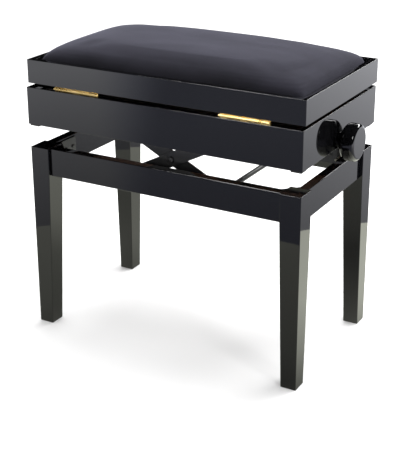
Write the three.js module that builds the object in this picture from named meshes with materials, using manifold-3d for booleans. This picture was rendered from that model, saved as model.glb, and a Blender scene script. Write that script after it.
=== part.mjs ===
// A piano bench: a lacquered leg frame, a scissor lift turned by a side knob, and a storage box
// whose padded lid opens on two brass hinges.
//
// Millimetres, +Z up, floor at Z = 0. X runs along the seat with the knob at +X, and Y runs across
// it with the hinged long side at -Y. Inside the outer group X = 0 is the middle of the seat; the
// outer group then moves the bench so that the origin is the middle of its whole footprint.

import * as THREE from "three";
import { mergeVertices } from "three/addons/utils/BufferGeometryUtils.js";
import Module from "manifold-3d";

const wasm = await Module();
wasm.setup();

// ---------------------------------------------------------------- driving dimensions

const GAP = 0.3; // clearance between two pieces that touch
const ROUND = 16; // sides of a small round piece

const FRAME_LENGTH = 552; // over the outer faces of the legs
const FRAME_DEPTH = 317;
const LEG = { height: 360.5, topX: 39, topY: 42, footX: 29.5, footY: 31.5, taperStart: 305 };
const APRON = { top: 360, height: 53, thickness: 18.5, recess: 5.6 };

const BRACKET = { thickness: 2.5, bottom: 320, height: 36, flange: 46, webReach: 33.5 };
const HANGER_BOLT = { radius: 3, inLeg: 29, outside: 17, holeRadius: 3.4 };
const HANGER_NUT = { radius: 6.5, height: 6, washer: 1.6 };

const BOX = { length: 555, depth: 320, bottom: 404.5, height: 70.5, wall: 12 };
const BOX_FLOOR = { underside: 433, thickness: 6 };
const PAD = { side: 20, thickness: 3, inset: 2.5 };

const LID = { length: 555.6, depth: 315.5, bottom: 482.3, height: 44, wall: 12 };
const LID_SHIFT = { x: 1.8, y: 1.15 };
const LID_PANEL = { underside: 484.3, thickness: 6 };
const SEAT_BOARD_THICKNESS = 9;
const CUSHION = { clearance: 1.7, crown: 34, cells: [16, 12], lengthways: [3, 0.28], across: [4, 0.45] };
const BUMPER = { radius: 5, x: 238, y: 153 };

const HINGE = { length: 94, centres: [-169, 169], axisY: -157, knuckleRadius: 2.2, boreRadius: 1.35 };
const HINGE_PIN_RADIUS = 1.05;
const HINGE_LEAF_THICKNESS = 1.6;
const HINGE_KNUCKLES = 5;

const ARM = { span: 216, width: 26, thickness: 4, outerY: 110, innerY: 104 };
const PIVOT = { x: -96, lowerZ: 317, upperZ: 415 }; // the two fixed pivots, one above the other
const PIVOT_BOLT = { shankRadius: 4, headRadius: 6.5, headHeight: 3.2, holeRadius: 4.4 };
const ROD = { radius: 5, holeRadius: 5.4, reach: 124 };
const RAIL = { webY: 118, thickness: 2.5, from: -130, to: 150 };
const LOWER_RAIL = { bottom: 308, top: 336, lipTop: 350 };
const UPPER_RAIL = { bottom: 401, top: 432.7, flangeY: 143 };
const SLOT = { from: 46, to: 119, halfHeight: 5.8 };

const SPINDLE = { threadRadius: 6, journalRadius: 5, start: 34, collarRadius: 9.5, collarLength: 15 };
const NUT = { halfX: 14, halfY: 16, halfZ: 11, bore: 6.35, trunnionDepth: 7 };
const BEARING = { halfY: 20, flange: 25, thickness: 2.5 };
const KNOB = { outerX: 312.5, radius: 33.5, hubRadius: 14.5, hubLength: 4, boreEnd: 303.5 };

// ---------------------------------------------------------------- materials

const finish = (color, roughness, metalness) =>
  new THREE.MeshStandardMaterial({ color, roughness, metalness });
const lacquer = finish(0x1b1c20, 0.12, 0);
const darkBoard = finish(0x2a1b14, 0.6, 0);
const blackSteel = finish(0x1c1c1e, 0.4, 0.8);
const zincSteel = finish(0x8d8d86, 0.35, 1);
const brass = finish(0xd8b45c, 0.25, 1);
const velour = finish(0x2c2b33, 0.95, 0);
const rubber = finish(0x161616, 0.85, 0);
const knobPlastic = finish(0x0c0c0e, 0.15, 0);

// ---------------------------------------------------------------- geometry helpers

// A closed mesh as a solid that can be cut and joined.
function toSolid(geometry, matrix = new THREE.Matrix4()) {
  const plain = geometry.clone().applyMatrix4(matrix);
  plain.deleteAttribute("normal");
  plain.deleteAttribute("uv");
  const merged = mergeVertices(plain, 1e-4);
  return new wasm.Manifold(
    new wasm.Mesh({
      numProp: 3,
      vertProperties: new Float32Array(merged.attributes.position.array),
      triVerts: new Uint32Array(merged.index.array),
    }),
  );
}

function toGeometry(solid) {
  const mesh = solid.getMesh();
  const geometry = new THREE.BufferGeometry();
  geometry.setAttribute("position", new THREE.BufferAttribute(mesh.vertProperties, 3));
  geometry.setIndex(new THREE.BufferAttribute(mesh.triVerts, 1));
  geometry.computeVertexNormals();
  return geometry;
}

const cut = (geometry, ...tools) =>
  toGeometry(tools.reduce((solid, tool) => solid.subtract(toSolid(tool)), toSolid(geometry)));
const join = (...geometries) =>
  toGeometry(geometries.map((g) => toSolid(g)).reduce((a, b) => a.add(b)));

function mesh(name, geometry, material, position = [0, 0, 0]) {
  const made = new THREE.Mesh(geometry, material);
  made.name = name;
  made.position.set(...position);
  return made;
}

// A board between two corners, in place.
function boardGeometry(low, high) {
  const size = high.map((h, i) => h - low[i]);
  const centre = high.map((h, i) => (h + low[i]) / 2);
  return new THREE.BoxGeometry(...size).translate(...centre);
}

const board = (name, material, low, high) => mesh(name, boardGeometry(low, high), material);

// An outline of [a, b] points pushed along a third axis.
function extruded(points, depth, holes = []) {
  const shape = new THREE.Shape(points.map(([a, b]) => new THREE.Vector2(a, b)));
  shape.holes = holes.map(([a, b, radius]) =>
    new THREE.Path().absarc(a, b, radius, 0, 2 * Math.PI, true),
  );
  return new THREE.ExtrudeGeometry(shape, { depth, bevelEnabled: false, curveSegments: ROUND });
}

const AXIS_X = new THREE.Vector3(1, 0, 0);
const AXIS_Y = new THREE.Vector3(0, 1, 0);
const AXIS_Z = new THREE.Vector3(0, 0, 1);

// A section drawn in Y and Z, running from one X to another.
const alongX = (yz, from, to) =>
  extruded(yz, to - from)
    .applyMatrix4(new THREE.Matrix4().makeBasis(AXIS_Y, AXIS_Z, AXIS_X))
    .translate(from, 0, 0);

// A section drawn in X and Z, running from one Y up to another.
const alongY = (xz, from, to, holes = []) =>
  extruded(xz, to - from, holes)
    .applyMatrix4(new THREE.Matrix4().makeBasis(AXIS_X, AXIS_Z, AXIS_Y.clone().negate()))
    .translate(0, to, 0);

// Outline points of a bar with round ends, from one [a, b] point to another on a level line.
function roundBar(from, to, level, radius, steps = ROUND / 2) {
  const arc = (centre, start) =>
    Array.from({ length: steps + 1 }, (_, i) => {
      const angle = start + (Math.PI * i) / steps;
      return [centre + radius * Math.cos(angle), level + radius * Math.sin(angle)];
    });
  return [...arc(to, -Math.PI / 2), ...arc(from, Math.PI / 2)];
}

const rodGeometry = (radius, length, sides = ROUND) =>
  new THREE.CylinderGeometry(radius, radius, length, sides);

// A round tool along X or Y, for drilling.
const drillX = (radius, from, to, y, z) =>
  rodGeometry(radius, to - from).rotateZ(Math.PI / 2).translate((from + to) / 2, y, z);
const drillY = (radius, from, to, x, z) =>
  rodGeometry(radius, to - from).translate(x, (from + to) / 2, z);

// A turned piece about Y: [distance along Y, radius] steps; it starts and ends on the axis.
function turned(steps, sides = ROUND) {
  const profile = steps.map(([y, radius]) => new THREE.Vector2(radius, y));
  const [start, end] = [profile[0].y, profile.at(-1).y].map((y) => new THREE.Vector2(0, y));
  return new THREE.LatheGeometry([start, ...profile, end], sides);
}

const CORNERS = [
  { name: "front_left", sx: -1, sy: -1 },
  { name: "front_right", sx: 1, sy: -1 },
  { name: "back_right", sx: 1, sy: 1 },
  { name: "back_left", sx: -1, sy: 1 },
];
const SIDES = [
  { name: "front", sy: -1 },
  { name: "back", sy: 1 },
];

// ---------------------------------------------------------------- leg frame

const legInnerX = FRAME_LENGTH / 2 - LEG.topX;
const legInnerY = FRAME_DEPTH / 2 - LEG.topY;
const apronInnerX = FRAME_LENGTH / 2 - APRON.recess - APRON.thickness;
const apronInnerY = FRAME_DEPTH / 2 - APRON.recess - APRON.thickness;
const bracketMiddleZ = BRACKET.bottom + BRACKET.height / 2;

// A leg keeps its two outer faces upright and tapers on its two inner faces, below the aprons.
function legGeometry({ sx, sy }) {
  const levels = [
    [0, LEG.footX, LEG.footY],
    [LEG.taperStart, LEG.topX, LEG.topY],
    [LEG.height, LEG.topX, LEG.topY],
  ];
  const positions = levels.flatMap(([z, wide, deep]) => {
    const outer = [(sx * FRAME_LENGTH) / 2, (sy * FRAME_DEPTH) / 2];
    const inner = [outer[0] - sx * wide, outer[1] - sy * deep];
    return [outer[0], outer[1], z, inner[0], outer[1], z, inner[0], inner[1], z, outer[0], inner[1], z];
  });
  const index = [0, 2, 1, 0, 3, 2, 8, 9, 10, 8, 10, 11];
  for (const base of [0, 4]) {
    for (let side = 0; side < 4; side += 1) {
      const next = (side + 1) % 4;
      const [a, b] = [base + side, base + next];
      index.push(a, b, b + 4, a, b + 4, a + 4);
    }
  }
  if (sx * sy < 0) index.reverse();
  const geometry = new THREE.BufferGeometry();
  geometry.setAttribute("position", new THREE.Float32BufferAttribute(positions, 3));
  geometry.setIndex(index);
  return geometry;
}

// A tool or piece lying on the diagonal through a leg's inner corner, at bracket height.
function onDiagonal(geometry, { sx, sy }, distance) {
  const along = distance / Math.SQRT2;
  return geometry
    .clone()
    .rotateZ(Math.atan2(sy, sx) - Math.PI / 2)
    .translate(sx * (legInnerX + along), sy * (legInnerY + along), bracketMiddleZ);
}

function leg(corner) {
  const { inLeg, holeRadius } = HANGER_BOLT;
  const depth = inLeg + 1;
  const drill = onDiagonal(rodGeometry(holeRadius, 2 * depth, 12), corner, 0);
  return mesh(`leg_${corner.name}`, cut(legGeometry(corner), drill), lacquer);
}

// A bent steel strip: along the end apron, across the leg's corner, along the long apron.
function cornerBracket(corner) {
  const { sx, sy, name } = corner;
  const { thickness, webReach, flange, bottom, height } = BRACKET;
  const x = apronInnerX - GAP;
  const y = apronInnerY - GAP;
  const shoulder = thickness * Math.tan(Math.PI / 8);
  const outer = [
    [x, y - webReach - flange],
    [x, y - webReach],
    [x - webReach, y],
    [x - webReach - flange, y],
  ];
  const inner = [
    [x - webReach - flange, y - thickness],
    [x - webReach - shoulder, y - thickness],
    [x - thickness, y - webReach - shoulder],
    [x - thickness, y - webReach - flange],
  ];
  const outline = [...outer, ...inner].map(([a, b]) => [sx * a, sy * b]);
  const strip = extruded(outline, height).translate(0, 0, bottom);
  const hole = onDiagonal(rodGeometry(HANGER_BOLT.holeRadius, 30, 12), corner, 0);
  return mesh(`corner_bracket_${name}`, cut(strip, hole), blackSteel);
}

// The stud that is screwed into the leg, with the nut that draws the bracket tight.
function hangerBolt(corner) {
  const { radius, inLeg, outside } = HANGER_BOLT;
  const stud = onDiagonal(rodGeometry(radius, inLeg + outside, 12), corner, (inLeg - outside) / 2);
  const nutAt = -(BRACKET.thickness + HANGER_NUT.washer + HANGER_NUT.height / 2 + GAP);
  const nut = onDiagonal(rodGeometry(HANGER_NUT.radius, HANGER_NUT.height, 6), corner, nutAt);
  return mesh(`hanger_bolt_${corner.name}`, join(stud, nut), zincSteel);
}

function apron(name, low, high) {
  return board(`apron_${name}`, lacquer, [...low, APRON.top - APRON.height], [...high, APRON.top]);
}

// The steel section that carries the lower ends of one scissor, screwed to a long apron.
function lowerRail({ name, sy }) {
  const face = apronInnerY - GAP;
  const t = RAIL.thickness;
  const web = RAIL.webY;
  const { bottom, top, lipTop } = LOWER_RAIL;
  const section = [
    [face, lipTop], [face, top - t], [web, top - t], [web, bottom + t], [face, bottom + t],
    [face, bottom], [web - t, bottom], [web - t, top], [face - t, top], [face - t, lipTop],
  ].map(([y, z]) => [sy * y, z]);
  const rail = alongX(section, RAIL.from, RAIL.to);
  return mesh(`lower_rail_${name}`, slotted(rail, sy, PIVOT.lowerZ), blackSteel);
}

// Cuts the sliding slot and the pivot hole of a rail, at the height of its pivots.
function slotted(rail, sy, z) {
  const near = Math.min(sy * (RAIL.webY + 4), sy * (RAIL.webY - 8));
  const slot = alongY(roundBar(SLOT.from, SLOT.to, z, SLOT.halfHeight), near, near + 12);
  return cut(rail, slot, drillY(PIVOT_BOLT.holeRadius, near, near + 12, PIVOT.x, z));
}

// A shouldered bolt between a rail's web and an arm, listed from the web's outer side inwards.
function pivotBolt(name, { sy }, armY, z) {
  const { shankRadius, headRadius, headHeight } = PIVOT_BOLT;
  const web = RAIL.webY;
  const armOuter = armY + ARM.thickness / 2 + GAP;
  const armInner = armY - ARM.thickness / 2 - GAP;
  const steps = [
    [web + GAP + headHeight, headRadius], [web + GAP, headRadius], [web + GAP, shankRadius],
    [web - RAIL.thickness - GAP, shankRadius], [web - RAIL.thickness - GAP, headRadius],
    [armOuter, headRadius], [armOuter, shankRadius], [armInner, shankRadius],
    [armInner, headRadius], [armInner - headHeight, headRadius],
  ];
  const bolt = mesh(name, turned(steps.reverse()), blackSteel, [PIVOT.x, 0, z]);
  bolt.rotation.x = sy > 0 ? 0 : Math.PI;
  return bolt;
}

function legFrame() {
  const group = new THREE.Group();
  for (const corner of CORNERS) group.add(leg(corner), cornerBracket(corner), hangerBolt(corner));
  const spanX = legInnerX - GAP;
  const spanY = legInnerY - GAP;
  const faceX = FRAME_LENGTH / 2 - APRON.recess;
  const faceY = FRAME_DEPTH / 2 - APRON.recess;
  group.add(
    apron("front", [-spanX, -faceY], [spanX, -apronInnerY]),
    apron("back", [-spanX, apronInnerY], [spanX, faceY]),
    apron("left", [-faceX, -spanY], [-apronInnerX, spanY]),
    apron("right", [apronInnerX, -spanY], [faceX, spanY]),
  );
  for (const side of SIDES) {
    const bolt = pivotBolt(`lower_pivot_bolt_${side.name}`, side, ARM.outerY, PIVOT.lowerZ);
    group.add(lowerRail(side), bolt);
  }
  return group;
}

// ---------------------------------------------------------------- scissor lift

const armRise = PIVOT.upperZ - PIVOT.lowerZ;
const armAngle = Math.asin(armRise / ARM.span);
const slidingX = PIVOT.x + ARM.span * Math.cos(armAngle);

// An arm lies along its own +X from the pivot that holds it, with holes at both ends and midway.
function armGeometry(y, firstHole, lastHole) {
  const { span, width, thickness } = ARM;
  const holes = [[0, 0, firstHole], [span / 2, 0, PIVOT_BOLT.holeRadius], [span, 0, lastHole]];
  return alongY(roundBar(0, span, 0, width / 2), y - thickness / 2, y + thickness / 2, holes);
}

// The bolt through the middle of one scissor, with its head on the outside and nut inside.
function centreBolt({ name, sy }) {
  const { shankRadius, headRadius, headHeight } = PIVOT_BOLT;
  const outside = ARM.outerY + ARM.thickness / 2 + GAP;
  const inside = ARM.innerY - ARM.thickness / 2 - GAP;
  const steps = [
    [inside - headHeight, headRadius], [inside, headRadius], [inside, shankRadius],
    [outside, shankRadius], [outside, headRadius], [outside + headHeight, headRadius],
  ];
  const bolt = mesh(`centre_bolt_${name}`, turned(steps), blackSteel, [ARM.span / 2, 0, 0]);
  bolt.rotation.x = sy > 0 ? 0 : Math.PI;
  return bolt;
}

// The outer pair of arms pivots on the leg frame; its upper ends carry the two half rods.
function outerArms() {
  const group = new THREE.Group();
  group.position.set(PIVOT.x, 0, PIVOT.lowerZ);
  group.rotation.y = -armAngle;
  const inner = NUT.halfY - NUT.trunnionDepth + GAP;
  for (const side of SIDES) {
    const { name, sy } = side;
    const arm = armGeometry(sy * ARM.outerY, PIVOT_BOLT.holeRadius, ROD.holeRadius);
    const halfRod = rodGeometry(ROD.radius, ROD.reach - inner);
    const rodMiddle = [ARM.span, (sy * (inner + ROD.reach)) / 2, 0];
    group.add(
      mesh(`outer_arm_${name}`, arm, blackSteel),
      centreBolt(side),
      mesh(`upper_rod_${name}`, halfRod, blackSteel, rodMiddle),
    );
  }
  return group;
}

// The inner pair of arms pivots on the box; its lower ends share one rod.
function innerArms() {
  const group = new THREE.Group();
  group.position.set(PIVOT.x, 0, PIVOT.upperZ);
  group.rotation.y = armAngle;
  for (const { name, sy } of SIDES) {
    const arm = armGeometry(sy * ARM.innerY, PIVOT_BOLT.holeRadius, ROD.holeRadius);
    group.add(mesh(`inner_arm_${name}`, arm, blackSteel));
  }
  const rod = rodGeometry(ROD.radius, 2 * ROD.reach);
  group.add(mesh("lower_rod", rod, blackSteel, [ARM.span, 0, 0]));
  return group;
}

// The block on the spindle's thread; the half rods turn in its two side pockets.
function trunnionNut() {
  const { halfX, halfY, halfZ, bore, trunnionDepth } = NUT;
  const block = boardGeometry([-halfX, -halfY, -halfZ], [halfX, halfY, halfZ]);
  const pocket = (sy) => {
    const ends = [sy * (halfY - trunnionDepth), sy * (halfY + 1)].sort((a, b) => a - b);
    return drillY(ROD.holeRadius, ...ends, 0, 0);
  };
  const geometry = cut(block, drillX(bore, -halfX - 1, halfX + 1, 0, 0), pocket(-1), pocket(1));
  return mesh("trunnion_nut", geometry, zincSteel, [slidingX, 0, PIVOT.upperZ]);
}

// ---------------------------------------------------------------- storage box

const boxHalfX = BOX.length / 2;
const boxHalfY = BOX.depth / 2;
const boxTop = BOX.bottom + BOX.height;

function upperRail({ name, sy }) {
  const t = RAIL.thickness;
  const { bottom, top, flangeY } = UPPER_RAIL;
  const web = RAIL.webY;
  const section = [
    [web, bottom], [web - t, bottom], [web - t, top], [flangeY, top], [flangeY, top - t], [web, top - t],
  ].map(([y, z]) => [sy * y, z]);
  const rail = alongX(section, RAIL.from, RAIL.to);
  return mesh(`upper_rail_${name}`, slotted(rail, sy, PIVOT.upperZ), blackSteel);
}

// The angle plate inside the right wall that holds the spindle.
function bearingBracket() {
  const { halfY, flange, thickness } = BEARING;
  const right = boxHalfX - BOX.wall - GAP;
  const top = BOX_FLOOR.underside - GAP;
  const bottom = BOX.bottom + GAP;
  const section = [
    [right, bottom], [right, top], [right - flange, top], [right - flange, top - thickness],
    [right - thickness, top - thickness], [right - thickness, bottom],
  ];
  const angle = alongY(section, -halfY, halfY);
  const hole = drillX(SPINDLE.journalRadius + 0.4, right - 6, right + 6, 0, PIVOT.upperZ);
  return mesh("bearing_bracket", cut(angle, hole), zincSteel);
}

function storageBox() {
  const group = new THREE.Group();
  const { wall, bottom } = BOX;
  const innerX = boxHalfX - wall;
  const innerY = boxHalfY - wall;
  const endWall = (low, high) =>
    boardGeometry([low, GAP - innerY, bottom], [high, innerY - GAP, boxTop]);
  const spindleHole = drillX(SPINDLE.journalRadius + 1.5, innerX - 5, boxHalfX + 5, 0, PIVOT.upperZ);
  group.add(
    board("box_front", lacquer, [-boxHalfX, -boxHalfY, bottom], [boxHalfX, -innerY, boxTop]),
    board("box_back", lacquer, [-boxHalfX, innerY, bottom], [boxHalfX, boxHalfY, boxTop]),
    mesh("box_left", endWall(-boxHalfX, -innerX), lacquer),
    mesh("box_right", cut(endWall(innerX, boxHalfX), spindleHole), lacquer),
    board("box_floor", darkBoard, [GAP - innerX, GAP - innerY, BOX_FLOOR.underside],
      [innerX - GAP, innerY - GAP, BOX_FLOOR.underside + BOX_FLOOR.thickness]),
    bearingBracket(),
  );
  for (const { name, sx, sy } of CORNERS) {
    const half = PAD.side / 2;
    const [x, y] = [sx * (boxHalfX - PAD.inset - half), sy * (boxHalfY - PAD.inset - half)];
    const top = bottom - GAP;
    const low = [x - half, y - half, top - PAD.thickness];
    group.add(board(`box_pad_${name}`, rubber, low, [x + half, y + half, top]));
  }
  const rise = LID.bottom - boxTop - 2 * GAP;
  for (const [name, sx] of [["left", -1], ["right", 1]]) {
    const bumper = rodGeometry(BUMPER.radius, rise).rotateX(Math.PI / 2);
    const at = [sx * BUMPER.x, BUMPER.y, boxTop + GAP + rise / 2];
    group.add(mesh(`lid_bumper_${name}`, bumper, rubber, at));
  }
  for (const side of SIDES) {
    const bolt = pivotBolt(`upper_pivot_bolt_${side.name}`, side, ARM.innerY, PIVOT.upperZ);
    group.add(upperRail(side), bolt);
  }
  return group;
}

// ---------------------------------------------------------------- spindle and knob

function spindle() {
  const { threadRadius, journalRadius, start, collarRadius, collarLength } = SPINDLE;
  const collarEnd = boxHalfX - BOX.wall - GAP - BEARING.thickness - GAP;
  const steps = [
    [start, threadRadius - 1.5], [start + 1.5, threadRadius], [collarEnd - collarLength, threadRadius],
    [collarEnd - collarLength, collarRadius], [collarEnd, collarRadius], [collarEnd, journalRadius],
    [KNOB.boreEnd - 3, journalRadius],
  ];
  const shaft = mesh("spindle", turned(steps), zincSteel, [0, 0, PIVOT.upperZ]);
  shaft.rotation.z = -Math.PI / 2;
  return shaft;
}

// A turned knob: hub against the wall, full back shoulder, straight rim and a flat face.
function knob() {
  const { outerX, radius, hubRadius, hubLength, boreEnd } = KNOB;
  const back = boxHalfX + GAP;
  const bore = SPINDLE.journalRadius + GAP;
  const shoulder = back + hubLength;
  const shoulderDepth = 13;
  const shoulderRise = radius - hubRadius;
  const edge = 7;
  const arc = (centreX, centreR, [sizeX, sizeR], from, to, steps) =>
    Array.from({ length: steps + 1 }, (_, i) => {
      const angle = from + ((to - from) * i) / steps;
      return [centreX + sizeX * Math.cos(angle), centreR + sizeR * Math.sin(angle)];
    });
  const outline = [
    [boreEnd, 0], [boreEnd, bore], [back, bore], [back, hubRadius],
    ...arc(shoulder + shoulderDepth, hubRadius, [shoulderDepth, shoulderRise], Math.PI, Math.PI / 2, 7),
    ...arc(outerX - edge, radius - edge, [edge, edge], Math.PI / 2, 0, 4),
    [outerX, 0],
  ];
  const points = outline.map(([x, r]) => new THREE.Vector2(r, x));
  const grip = new THREE.LatheGeometry(points, 2 * ROUND);
  const body = mesh("knob", grip, knobPlastic, [0, 0, PIVOT.upperZ]);
  body.rotation.z = -Math.PI / 2;
  return body;
}

// ---------------------------------------------------------------- lid

const lidTop = LID.bottom + LID.height;
const hingeZ = (boxTop + LID.bottom) / 2;

// One leaf of a butt hinge: a plate that lies on a board's edge, and every second knuckle. The pin
// is pressed into the leaf that has the end knuckles, and the other leaf turns on it.
function hingeLeaf(name, centre, holdsPin, plateBottom, plateBack) {
  const { length, axisY, knuckleRadius, boreRadius } = HINGE;
  const pitch = length / HINGE_KNUCKLES;
  const start = centre - length / 2;
  const end = start + length;
  const first = holdsPin ? 0 : 1;
  const clear = knuckleRadius + GAP;
  const low = [start, axisY, plateBottom];
  let leaf = toSolid(boardGeometry(low, [end, plateBack, plateBottom + HINGE_LEAF_THICKNESS]));
  for (let i = 0; i < HINGE_KNUCKLES; i += 1) {
    const [from, to] = [start + i * pitch, start + (i + 1) * pitch];
    if (i % 2 === first) {
      leaf = leaf.add(toSolid(drillX(knuckleRadius, from, to, axisY, hingeZ)));
    } else {
      const corner = [from - GAP, axisY - clear, hingeZ - clear];
      leaf = leaf.subtract(toSolid(boardGeometry(corner, [to + GAP, axisY + clear, hingeZ + clear])));
    }
  }
  const core = (radius, over) => toSolid(drillX(radius, start - over, end + over, axisY, hingeZ));
  leaf = holdsPin ? leaf.add(core(HINGE_PIN_RADIUS, 0)) : leaf.subtract(core(boreRadius, 1));
  return mesh(name, toGeometry(leaf), brass);
}

// The foam and its cover: straight sides inside the lid's rim, then a crown, flat underneath.
function cushionGeometry(halfX, halfY, bottom, rim) {
  const { crown, cells, lengthways, across } = CUSHION;
  const [columns, rows] = cells;
  const bulge = (t, [flatness, edge]) => Math.max(0, 1 - Math.abs(t) ** flatness) ** edge;
  const spread = (i, count) => Math.sin(((i / count) * 2 - 1) * (Math.PI / 2));
  const positions = [];
  const index = [];
  const layer = (height) => {
    for (let j = 0; j <= rows; j += 1) {
      for (let i = 0; i <= columns; i += 1) {
        const [s, t] = [spread(i, columns), spread(j, rows)];
        positions.push(s * halfX, t * halfY, height(s, t));
      }
    }
  };
  layer(() => bottom);
  layer((s, t) => rim + crown * bulge(s, lengthways) * bulge(t, across));
  const width = columns + 1;
  const above = width * (rows + 1);
  for (let j = 0; j < rows; j += 1) {
    for (let i = 0; i < columns; i += 1) {
      const a = j * width + i;
      const [b, c, d] = [a + 1, a + width, a + width + 1];
      index.push(a, c, b, b, c, d);
      index.push(above + a, above + b, above + c, above + b, above + d, above + c);
    }
  }
  const wall = (a, b) => index.push(a, b, above + b, a, above + b, above + a);
  for (let i = 0; i < columns; i += 1) {
    wall(i, i + 1);
    wall(rows * width + i + 1, rows * width + i);
  }
  for (let j = 0; j < rows; j += 1) {
    wall((j + 1) * width, j * width);
    wall(j * width + columns, (j + 1) * width + columns);
  }
  const geometry = new THREE.BufferGeometry();
  geometry.setAttribute("position", new THREE.Float32BufferAttribute(positions, 3));
  geometry.setIndex(index);
  return geometry;
}

function lid() {
  const group = new THREE.Group();
  group.position.set(LID_SHIFT.x, LID_SHIFT.y, 0);
  const halfX = LID.length / 2;
  const halfY = LID.depth / 2;
  const innerX = halfX - LID.wall;
  const innerY = halfY - LID.wall;
  const inset = CUSHION.clearance;
  const panelTop = LID_PANEL.underside + LID_PANEL.thickness;
  const boardTop = panelTop + GAP + SEAT_BOARD_THICKNESS;
  const cushion = cushionGeometry(innerX - inset, innerY - inset, boardTop + GAP, lidTop);
  group.add(
    board("lid_front", lacquer, [-halfX, -halfY, LID.bottom], [halfX, -innerY, lidTop]),
    board("lid_back", lacquer, [-halfX, innerY, LID.bottom], [halfX, halfY, lidTop]),
    board("lid_left", lacquer, [-halfX, GAP - innerY, LID.bottom], [-innerX, innerY - GAP, lidTop]),
    board("lid_right", lacquer, [innerX, GAP - innerY, LID.bottom], [halfX, innerY - GAP, lidTop]),
    board("lid_panel", darkBoard, [GAP - innerX, GAP - innerY, LID_PANEL.underside],
      [innerX - GAP, innerY - GAP, panelTop]),
    board("seat_board", darkBoard, [inset - innerX, inset - innerY, panelTop + GAP],
      [innerX - inset, innerY - inset, boardTop]),
    mesh("seat_cushion", cushion, velour),
  );
  return group;
}

function hinges() {
  const group = new THREE.Group();
  const backEdge = -boxHalfY + BOX.wall - 1;
  const lidLeafZ = LID.bottom - GAP - HINGE_LEAF_THICKNESS;
  HINGE.centres.forEach((centre, i) => {
    const side = ["left", "right"][i];
    group.add(
      hingeLeaf(`hinge_box_leaf_${side}`, centre, true, boxTop + GAP, backEdge),
      hingeLeaf(`hinge_lid_leaf_${side}`, centre, false, lidLeafZ, backEdge),
    );
  });
  return group;
}

// ---------------------------------------------------------------- the bench

const bench = new THREE.Group();
bench.position.x = (boxHalfX - KNOB.outerX) / 2;
bench.add(legFrame(), outerArms(), innerArms(), trunnionNut(), storageBox(), spindle(), knob());
bench.add(lid(), hinges());

export default bench;
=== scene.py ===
"""The looks of the piano bench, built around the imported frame. Metres, +Z up, knob at +X."""

import math

import bmesh
import bpy
from mathutils import Matrix, Vector


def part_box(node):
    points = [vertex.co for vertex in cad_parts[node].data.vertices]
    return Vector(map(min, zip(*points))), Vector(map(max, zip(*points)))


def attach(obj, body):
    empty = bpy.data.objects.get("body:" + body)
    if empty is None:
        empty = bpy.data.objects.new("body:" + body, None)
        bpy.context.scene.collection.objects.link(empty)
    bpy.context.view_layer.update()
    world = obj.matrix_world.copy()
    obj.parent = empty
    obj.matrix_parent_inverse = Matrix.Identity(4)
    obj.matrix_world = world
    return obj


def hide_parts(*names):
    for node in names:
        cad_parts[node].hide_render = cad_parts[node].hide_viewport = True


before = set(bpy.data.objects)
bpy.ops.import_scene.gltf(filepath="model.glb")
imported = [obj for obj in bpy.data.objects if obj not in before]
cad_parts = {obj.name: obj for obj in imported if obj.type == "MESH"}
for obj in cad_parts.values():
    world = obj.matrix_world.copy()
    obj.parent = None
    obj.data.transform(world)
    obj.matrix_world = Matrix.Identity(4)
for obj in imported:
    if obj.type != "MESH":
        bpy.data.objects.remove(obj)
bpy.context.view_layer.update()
scene = bpy.context.scene

MM = 0.001
X, Y, Z = Vector((1, 0, 0)), Vector((0, 1, 0)), Vector((0, 0, 1))
CORNERS = {"front_left": (-1, -1), "front_right": (1, -1), "back_right": (1, 1), "back_left": (-1, 1)}
SIDES = {"front": -1, "back": 1}

BOARD = 12 * MM  # thickness of the box's and the lid's boards
SHEET = 2.5 * MM  # thickness of the sheet steel
SHANK = 4 * MM  # radius of a bolt's shank
HEAD, HEAD_HEIGHT = 6.5 * MM, 3.2 * MM  # radius and height of a bolt's head or nut
JOURNAL = 5 * MM  # radius of the spindle where it turns in its bearing
SCREWS_ALONG = (0.06, 0.35, 0.65, 0.94)  # where a rail's screws are, as shares of its length
ROUND_EDGE = 1.3 * MM  # rounding of the legs, the box and the lid
SHEET_EDGE = 0.4 * MM  # rounding of thin boards and bent sheet


# ---------------------------------------------------------------- materials


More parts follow.
